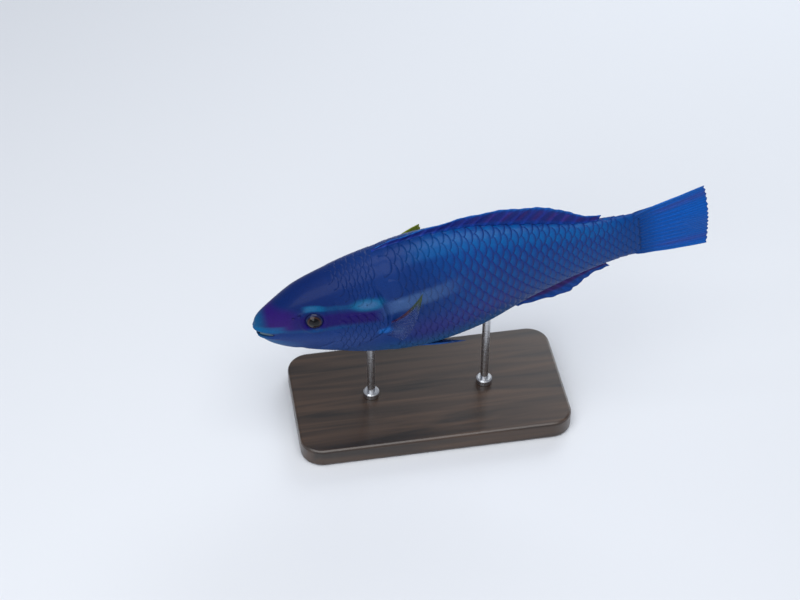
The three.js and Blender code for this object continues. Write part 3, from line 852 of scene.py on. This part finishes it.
def fin_shape(name, centre, paint, rays, rows, ragged,
              branches=(0.4, 0.9), root=1.6, membrane=0.45, ray=0.8, per_gap=8):
    """centre(across, out) gives the middle surface in the fish's own axes, root to margin."""
    columns = (rays - 1) * per_gap
    S, T = np.meshgrid(np.linspace(0, 1, columns + 1), np.linspace(0, 1, rows + 1), indexing="ij")
    gap = S * (rays - 1) - np.round(S * (rays - 1))
    ridge = ray_ridge(gap, T, branches)
    rng = np.random.default_rng(rays)
    torn = ragged * 0.5 * rng.random(columns + 1)[:, None] * smooth(T, 0.5, 1)
    jag = 1 - ragged * (1 - np.cos(gap * 2 * np.pi)) / 2 - torn
    reach = T * mix(1.0, jag, smooth(T, 0.4, 1.0))
    mid = centre(S, reach)
    step = 5e-3
    along = centre(S, np.minimum(reach + step, 1)) - centre(S, np.maximum(reach - step, 0))
    across = centre(np.minimum(S + step, 1), reach) - centre(np.maximum(S - step, 0), reach)
    n = np.cross(across, along)
    n = n / np.maximum(np.linalg.norm(n, axis=-1, keepdims=True), 1e-12)
    body = mix(root, membrane, smooth(T, 0, 0.3))
    bars = 1 + 0.1 * np.sin(T * rows * 1.3)
    thick = (body + (mix(ray, ray * 0.35, T) * ridge * bars)) * MM / LENGTH
    thick = thick * mix(1, 0.45, smooth(T, 0.94, 1))
    points = [(mid + n * (face * thick / 2)[..., None]).reshape(-1, 3) for face in (1, -1)]
    count = len(points[0])
    quads = lattice_faces(columns + 1, rows + 1)
    faces = [q[::-1] for q in quads] + [q + count for q in quads]
    rim = [i * (rows + 1) + j for i, j in grid_rim(columns, rows)]
    faces += [(b, a, a + count, b + count) for a, b in zip(rim, rim[1:] + rim[:1])]
    fin = make_object(name, to_stand(np.concatenate(points)), faces)
    colour, cover = paint(S, reach, ridge)
    store(fin, "paint", np.tile(colour.reshape(-1, 3), (2, 1)), "FLOAT_COLOR")
    store(fin, "cover", np.tile(cover.ravel(), 2))
    return fin


FIN_SUNK = 0.0012  # how far a fin's root is sunk in the skin, as a share of the length


def edge_fin(start, end, height, lean, up):
    """The middle surface of a fin along the back, with up 1, or the belly, with up -1."""
    def centre(s, out):
        share = mix(start, end, s)
        high = height(s) * MM / LENGTH
        tilt = np.radians(mix(*lean, s))
        root = back(share) if up > 0 else belly(share)
        wave = 0.4 * MM / LENGTH * np.sin(s * 40) * out
        z = root + up * (out * (high + FIN_SUNK) - FIN_SUNK)
        return np.stack([share + out * high / np.tan(tilt), wave, z], -1)

    return centre


def lit_rays(colour, ridge):
    return colour * (0.8 + 0.35 * ridge)[..., None]


def paint_dorsal(s, out, ridge):
    colour = flat_paint(FIN_BLUE, s)
    band = smooth(out, 0.12, 0.3) * (1 - smooth(out, 0.72, 0.86))
    colour = blend(colour, rgb(44, 40, 140), 0.55 * band)
    spots = band * smooth(np.sin(s * 92) * 0.5 + 0.5, 0.55, 0.95) * smooth(s, 0.3, 0.6)
    colour = blend(colour, rgb(104, 44, 120), 0.25 * spots)
    colour = blend(colour, BRIGHT, 0.8 * smooth(out, 0.84, 0.96))
    return lit_rays(colour, ridge), np.ones_like(s)


def paint_anal(s, out, ridge):
    colour = flat_paint(rgb(60, 34, 122), s)
    colour = blend(colour, rgb(12, 78, 172), smooth(out, 0.42, 0.62))
    return lit_rays(colour, ridge), np.ones_like(s)


def paint_tail(s, out, ridge):
    colour = flat_paint(TAIL_BLUE, s)
    lobe = np.abs(2 * s - 1)
    streak = bell(lobe, 0.74, 0.1) * smooth(out, 0.1, 0.5)
    colour = blend(colour, rgb(96, 52, 130), 0.3 * streak)
    colour = blend(colour, BRIGHT, 0.6 * smooth(lobe, 0.88, 0.99))
    # Lighter rays towards the trailing edge and lighter ridges on every ray: partly the rays' own paler
    # tone, partly painted highlight where the rippled fin catches light.
    pale_ray_and_highlight = 0.5 * ridge * smooth(out, 0.45, 0.9) * (1 - smooth(lobe, 0.6, 0.8))
    colour = blend(colour, rgb(30, 108, 204), pale_ray_and_highlight)
    colour = colour * (0.86 + 0.24 * ridge)[..., None]
    colour = blend(colour, REAR_BLUE, 1 - smooth(out, 0.02, 0.42))
    return colour, np.ones_like(s)


# The pectoral fins' tips: the right one has the light behind it
OLIVES = {"left": rgb(70, 86, 62), "right": rgb(150, 168, 40)}


def paint_pectoral(s, out, ridge, olive):
    tawny = blend(flat_paint(rgb(76, 32, 88), s), rgb(88, 52, 60), smooth(out, 0.15, 0.5))
    tawny = blend(tawny, olive, smooth(out, 0.5, 0.75))
    clear = flat_paint(rgb(86, 104, 168), s)
    lead = 1 - smooth(s, 0.03, 0.15)
    tip = smooth(out, 0.78, 0.95) * (1 - smooth(s, 0.1, 0.3))
    colour = blend(clear, tawny, np.maximum(np.maximum(lead, tip), 0.3 * ridge))
    colour = blend(colour, BRIGHT, 0.45 * (1 - smooth(out, 0.02, 0.1)))
    cover = 0.12 + 0.6 * lead + 0.5 * tip + 0.26 * ridge * (1 - 0.5 * out) + (1 - smooth(out, 0.02, 0.12))
    return colour, np.clip(cover, 0, 1)


def paint_pelvic(s, out, ridge):
    colour = flat_paint(rgb(40, 84, 160), s)
    colour = blend(colour, BRIGHT, 0.3 * (1 - smooth(s, 0.0, 0.15)))
    return lit_rays(colour, ridge), np.clip(0.72 + 0.3 * ridge, 0, 1)


def dorsal_height(s):
    """In mm, as the anal fin's."""
    rise = mix(3.4, 9.4, smooth(s, 0.1, 0.65)) * mix(0.45, 1, smooth(s, 0, 0.06))
    return rise * mix(1, 0.3, smooth(s, 0.68, 1.02))


def anal_height(s):
    return mix(3, 9.6, smooth(s, -0.1, 0.42)) * mix(1, 0.42, smooth(s, 0.4, 0.9))


TAIL_UP, TAIL_DOWN = 0.084, -0.077  # its tips
TAIL_TUCK = 0.006  # its root lies this far inside the stalk, and twice as far before its end


def tail_centre(s, out):
    root_z = mix(back(FIN_ROOT) - TAIL_TUCK, belly(FIN_ROOT) + TAIL_TUCK, s)
    end_x = mix(1.0, 0.994, np.abs(2 * s - 1) ** 4)
    ripple = 1.1 * np.sin(s * 9 + 0.6) * smooth(out, 0.25, 1) + 2.5 * out * out
    z = mix(root_z, mix(TAIL_UP, TAIL_DOWN, s), out**0.7)
    return np.stack([mix(FIN_ROOT - 2 * TAIL_TUCK, end_x, out), ripple * MM / LENGTH, z], -1)


# The paired fins: both ends of the root as a distance behind the snout and degrees from the back,
# first ray, last ray and bow (back, outward, up, in mm), how the rays shorten, and how deep the root is sunk
PECTORAL_ROOT = (0.284, 95), (0.272, 110)
PECTORALS = {
    "left": (*PECTORAL_ROOT, (21.5, 18, 34.5), (8, 12, 3.5), (0, 1.6, -1.6), 0.8, 1.8),
    "right": (*PECTORAL_ROOT, (31, 27, 16), (18, 17, -12), (-6, 3, 4.5), 1.9, 1.8),
}
PELVIC = ((0.318, 156), (0.322, 168), (34, 6, -1), (20, 1, -2.2), (0, 0.5, -0.5), 1, 1.6)


def paired_centre(side, a, b, first, last, bow, shorten, root):
    """The middle surface of a fin whose rays turn evenly from its first to its last."""
    mirror = lambda v: np.array([v[0], -side * v[1], v[2]], float)
    start, end = mirror(first), mirror(last)
    d0, d1 = start / np.linalg.norm(start), end / np.linalg.norm(end)
    spread = math.acos(float(np.clip(d0 @ d1, -1, 1)))

    def centre(s, out):
        share, angle = mix(a[0], b[0], s), side * np.radians(mix(a[1], b[1], s))
        foot = body_point(share, angle) - body_normal(share, angle) * (root * MM / LENGTH)
        turned = np.sin((1 - s) * spread)[..., None] * d0 + np.sin(s * spread)[..., None] * d1
        way = turned / math.sin(spread)
        long = mix(np.linalg.norm(start), np.linalg.norm(end), s**shorten) * MM / LENGTH
        bend = np.sin(np.pi * out) * (1 - s)
        return foot + way * (long * out)[..., None] + mirror(bow) * MM / LENGTH * bend[..., None]

    return centre


# Materials

def new_material(name):
    material = bpy.data.materials.new(name)
    material.use_nodes = True
    return material, material.node_tree, material.node_tree.nodes["Principled BSDF"]


def set_values(node, values):
    for name, value in values.items():
        node.inputs[name].default_value = value


def grain_group():
    """Fine mottling of wet skin: a darker and lighter tone, a roughness and a height."""
    tree = bpy.data.node_groups.new("skin_grain", "ShaderNodeTree")
    node_input(tree, "Colour", "NodeSocketColor", (1, 1, 1, 1))
    for name, value in (("Size", 900.0), ("Mottle", 0.2), ("Roughness", 0.35)):
        node_input(tree, name, "NodeSocketFloat", value)
    for name, kind in (("Colour", "Color"), ("Roughness", "Float"), ("Height", "Float")):
        tree.interface.new_socket(name, in_out="OUTPUT", socket_type="NodeSocket" + kind)
    new, link = tree.nodes.new, tree.links.new
    inlet, outlet = new("NodeGroupInput"), new("NodeGroupOutput")
    where = new("ShaderNodeTexCoord")
    fine, broad = new("ShaderNodeTexNoise"), new("ShaderNodeTexNoise")
    for noise in (fine, broad):
        link(where.outputs["Object"], noise.inputs["Vector"])
        noise.inputs["Detail"].default_value = 4.0
    link(inlet.outputs["Size"], fine.inputs["Scale"])
    broad.inputs["Scale"].default_value = 160.0
    tone = new("ShaderNodeMapRange")
    link(fine.outputs["Fac"], tone.inputs["Value"])
    one_less, one_more = new("ShaderNodeMath"), new("ShaderNodeMath")
    one_less.operation, one_more.operation = "SUBTRACT", "ADD"
    one_less.inputs[0].default_value = one_more.inputs[0].default_value = 1.0
    link(inlet.outputs["Mottle"], one_less.inputs[1])
    link(inlet.outputs["Mottle"], one_more.inputs[1])
    set_values(tone, {"From Min": 0.3, "From Max": 0.7})
    link(one_less.outputs[0], tone.inputs["To Min"])
    link(one_more.outputs[0], tone.inputs["To Max"])
    tint = new("ShaderNodeVectorMath")
    tint.operation = "SCALE"
    link(inlet.outputs["Colour"], tint.inputs[0])
    link(tone.outputs["Result"], tint.inputs["Scale"])
    link(tint.outputs[0], outlet.inputs["Colour"])
    dull = new("ShaderNodeMath")
    dull.operation = "MULTIPLY_ADD"
    link(broad.outputs["Fac"], dull.inputs[0])
    dull.inputs[1].default_value = 0.16
    link(inlet.outputs["Roughness"], dull.inputs[2])
    link(dull.outputs[0], outlet.inputs["Roughness"])
    link(fine.outputs["Fac"], outlet.inputs["Height"])
    return tree


def painted_material(name, grain, size, mottle, roughness, bump, clear=False, coat=0.07, shine=0.1):
    """Skin, scale or fin: the piece's own paint under a wet coat."""
    material, tree, shader = new_material(name)
    new, link = tree.nodes.new, tree.links.new
    paint = new("ShaderNodeAttribute")
    paint.attribute_name = "paint"
    group = new("ShaderNodeGroup")
    group.node_tree = grain
    link(paint.outputs["Color"], group.inputs["Colour"])
    set_values(group, {"Size": size, "Mottle": mottle, "Roughness": roughness})
    link(group.outputs["Colour"], shader.inputs["Base Color"])
    link(group.outputs["Roughness"], shader.inputs["Roughness"])
    height = new("ShaderNodeBump")
    set_values(height, {"Strength": bump, "Distance": 0.1 * MM})
    link(group.outputs["Height"], height.inputs["Height"])
    link(height.outputs["Normal"], shader.inputs["Normal"])
    set_values(shader, {"Specular IOR Level": shine, "Coat Weight": coat, "Coat Roughness": 0.12})
    if clear:
        cover = new("ShaderNodeAttribute")
        cover.attribute_name = "cover"
        link(cover.outputs["Fac"], shader.inputs["Alpha"])
    return material


def floor_paper():
    material, _, shader = new_material("floor_paper")
    set_values(shader, {"Base Color": (0.72, 0.74, 0.77, 1), "Roughness": 0.7})
    return material


def stand_wood():
    material, tree, shader = new_material("stand_wood")
    new, link = tree.nodes.new, tree.links.new
    where = new("ShaderNodeTexCoord")
    run = new("ShaderNodeMapping")
    run.inputs["Scale"].default_value = (6, 90, 90)
    link(where.outputs["Object"], run.inputs["Vector"])
    fibre = new("ShaderNodeTexNoise")
    set_values(fibre, {"Scale": 1.6, "Detail": 6.0, "Distortion": 0.7})
    link(run.outputs["Vector"], fibre.inputs["Vector"])
    stain = new("ShaderNodeValToRGB")
    stops = ((0.32, (0.010, 0.006, 0.004, 1)), (0.74, (0.075, 0.040, 0.022, 1)))
    for stop, (position, colour) in zip(stain.color_ramp.elements, stops):
        stop.position, stop.color = position, colour
    link(fibre.outputs["Fac"], stain.inputs["Fac"])
    link(stain.outputs["Color"], shader.inputs["Base Color"])
    dull = new("ShaderNodeMapRange")
    set_values(dull, {"To Min": 0.28, "To Max": 0.45})
    link(fibre.outputs["Fac"], dull.inputs["Value"])
    link(dull.outputs["Result"], shader.inputs["Roughness"])
    pores = new("ShaderNodeBump")
    set_values(pores, {"Strength": 0.25, "Distance": 0.15 * MM})
    link(fibre.outputs["Fac"], pores.inputs["Height"])
    link(pores.outputs["Normal"], shader.inputs["Normal"])
    set_values(shader, {"Coat Weight": 0.3, "Coat Roughness": 0.2})
    return material


def stand_steel():
    material, tree, shader = new_material("stand_steel")
    new, link = tree.nodes.new, tree.links.new
    where = new("ShaderNodeTexCoord")
    run = new("ShaderNodeMapping")
    run.inputs["Scale"].default_value = (60, 60, 700)
    link(where.outputs["Object"], run.inputs["Vector"])
    lines = new("ShaderNodeTexNoise")
    lines.inputs["Scale"].default_value = 1.0
    link(run.outputs["Vector"], lines.inputs["Vector"])
    dull = new("ShaderNodeMapRange")
    set_values(dull, {"To Min": 0.24, "To Max": 0.32})
    link(lines.outputs["Fac"], dull.inputs["Value"])
    link(dull.outputs["Result"], shader.inputs["Roughness"])
    set_values(shader, {"Base Color": (0.6, 0.61, 0.63, 1), "Metallic": 1.0})
    return material


def give(thing, material):
    thing.data.materials.clear()
    thing.data.materials.append(material)


# Eyes

def make_eye(side, finish):
    """An eyeball with a domed cornea, its iris and pupil painted by distance from the axis."""
    ball, faces = ellipsoid(40, 48)
    off = np.hypot(ball[:, 0], ball[:, 1])
    cornea = 1 + 0.1 * (1 - smooth(off, 0.0, 0.72)) * (ball[:, 2] > 0)
    points = ball * [EYE_RADIUS, EYE_RADIUS, EYE_DEPTH]
    points[:, 2] *= cornea
    off = np.hypot(points[:, 0], points[:, 1]) / EYE_RADIUS
    front = points[:, 2] > 0
    colour = flat_paint(EYE_RIM, off)
    streak = 0.8 + 0.4 * np.sin(np.arctan2(points[:, 1], points[:, 0]) * 23) ** 2
    colour = blend(colour, IRIS * streak[:, None], front * (1 - smooth(off, 0.66, 0.8)))
    colour = blend(colour, IRIS_RING, front * bell(off, 0.6, 0.03) * 0.35)
    colour = blend(colour, PUPIL, front * (1 - smooth(off, 0.53, 0.58)))
    out = Vector(turn_to_stand(body_normal(np.float64(EYE_AT), np.float64(side * EYE_ANGLE))))
    turn = Vector((0, 0, 1)).rotation_difference(out).to_matrix()
    centre = to_stand(body_point(EYE_AT, side * EYE_ANGLE)) + np.array(out) * (EYE_PROUD - EYE_DEPTH)
    placed = points @ np.array(turn).T + centre
    node = "eye_left" if side > 0 else "eye_right"
    eye = make_object(f"{node}_ball", placed, faces)
    store(eye, "paint", colour, "FLOAT_COLOR")
    give(eye, finish)
    hide_solids(eye, [node])


def make_body(grain):
    skin_finish = painted_material("wet_skin", grain, 1400.0, 0.16, 0.36, 0.35)
    scale_finish = painted_material("wet_scale", grain, 1800.0, 0.14, 0.32, 0.25)
    skin = make_skin()
    give(skin, skin_finish)
    tree, blank = scale_tree(), scale_blank()
    make_scales("body_scales", scale_roots(), BODY_EDGE, skin, scale_finish, tree, blank)
    make_scales("head_scales", head_scale_roots(), HEAD_EDGE, skin, scale_finish, tree, blank)
    bpy.data.objects.remove(blank)
    solids = ["head", "lower_jaw", "gill_cover_left", "gill_cover_right", "torso", "tail_stalk"]
    hide_solids(skin, solids)


def make_fins(grain):
    finish = painted_material("fin_membrane", grain, 1500.0, 0.2, 0.38, 0.3, clear=True)

    def dress(node, slot, *shape, **sizes):
        fin = fin_shape(f"{node}_membrane", *shape, **sizes)
        give(fin, finish)
        hide_solids(fin, [node])

    dress("dorsal_fin", "fin", edge_fin(0.276, 0.757, dorsal_height, (30, 46), 1), paint_dorsal,
          rays=19, rows=20, ragged=0.035, branches=(0.55, 0.95))
    dress("anal_fin", "fin", edge_fin(0.548, 0.762, anal_height, (34, 46), -1), paint_anal,
          rays=12, rows=20, ragged=0.03, branches=(0.5, 0.95))
    dress("tail_fin", "fin", tail_centre, paint_tail,
          rays=14, rows=48, ragged=0.015, branches=(0.35, 0.8), root=3.0, per_gap=10)
    for side, word in ((1, "left"), (-1, "right")):
        tinted = lambda s, out, ridge, olive=OLIVES[word]: paint_pectoral(s, out, ridge, olive)
        dress(f"pectoral_fin_{word}", "clear_fin", paired_centre(side, *PECTORALS[word]), tinted,
              rays=13, rows=28, ragged=0.012, root=1.8, membrane=0.4, ray=0.7)
        dress(f"pelvic_fin_{word}", "fin", paired_centre(side, *PELVIC), paint_pelvic,
              rays=6, rows=24, ragged=0.04)


def make_stand():
    give(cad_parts["stand_base"], stand_wood())
    steel = stand_steel()
    for name in ("stand_rod_front", "stand_rod_rear"):
        give(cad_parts[name], steel)


def build():
    add_camera()
    add_studio()
    add_floor()
    grain = grain_group()
    make_body(grain)
    beak_finish = painted_material("polished_beak", grain, 700.0, 0.06, 0.2, 0.05, coat=0.3, shine=0.4)
    for up, word in ((1, "upper"), (-1, "lower")):
        hide_solids(make_beak(f"beak_{word}_plate", up, beak_finish), [f"beak_{word}"])
    eye_finish = painted_material("wet_eye", grain, 2500.0, 0.1, 0.08, 0.02, coat=0.2, shine=0.2)
    for side in (1, -1):
        make_eye(side, eye_finish)
    make_fins(grain)
    make_stand()


build()
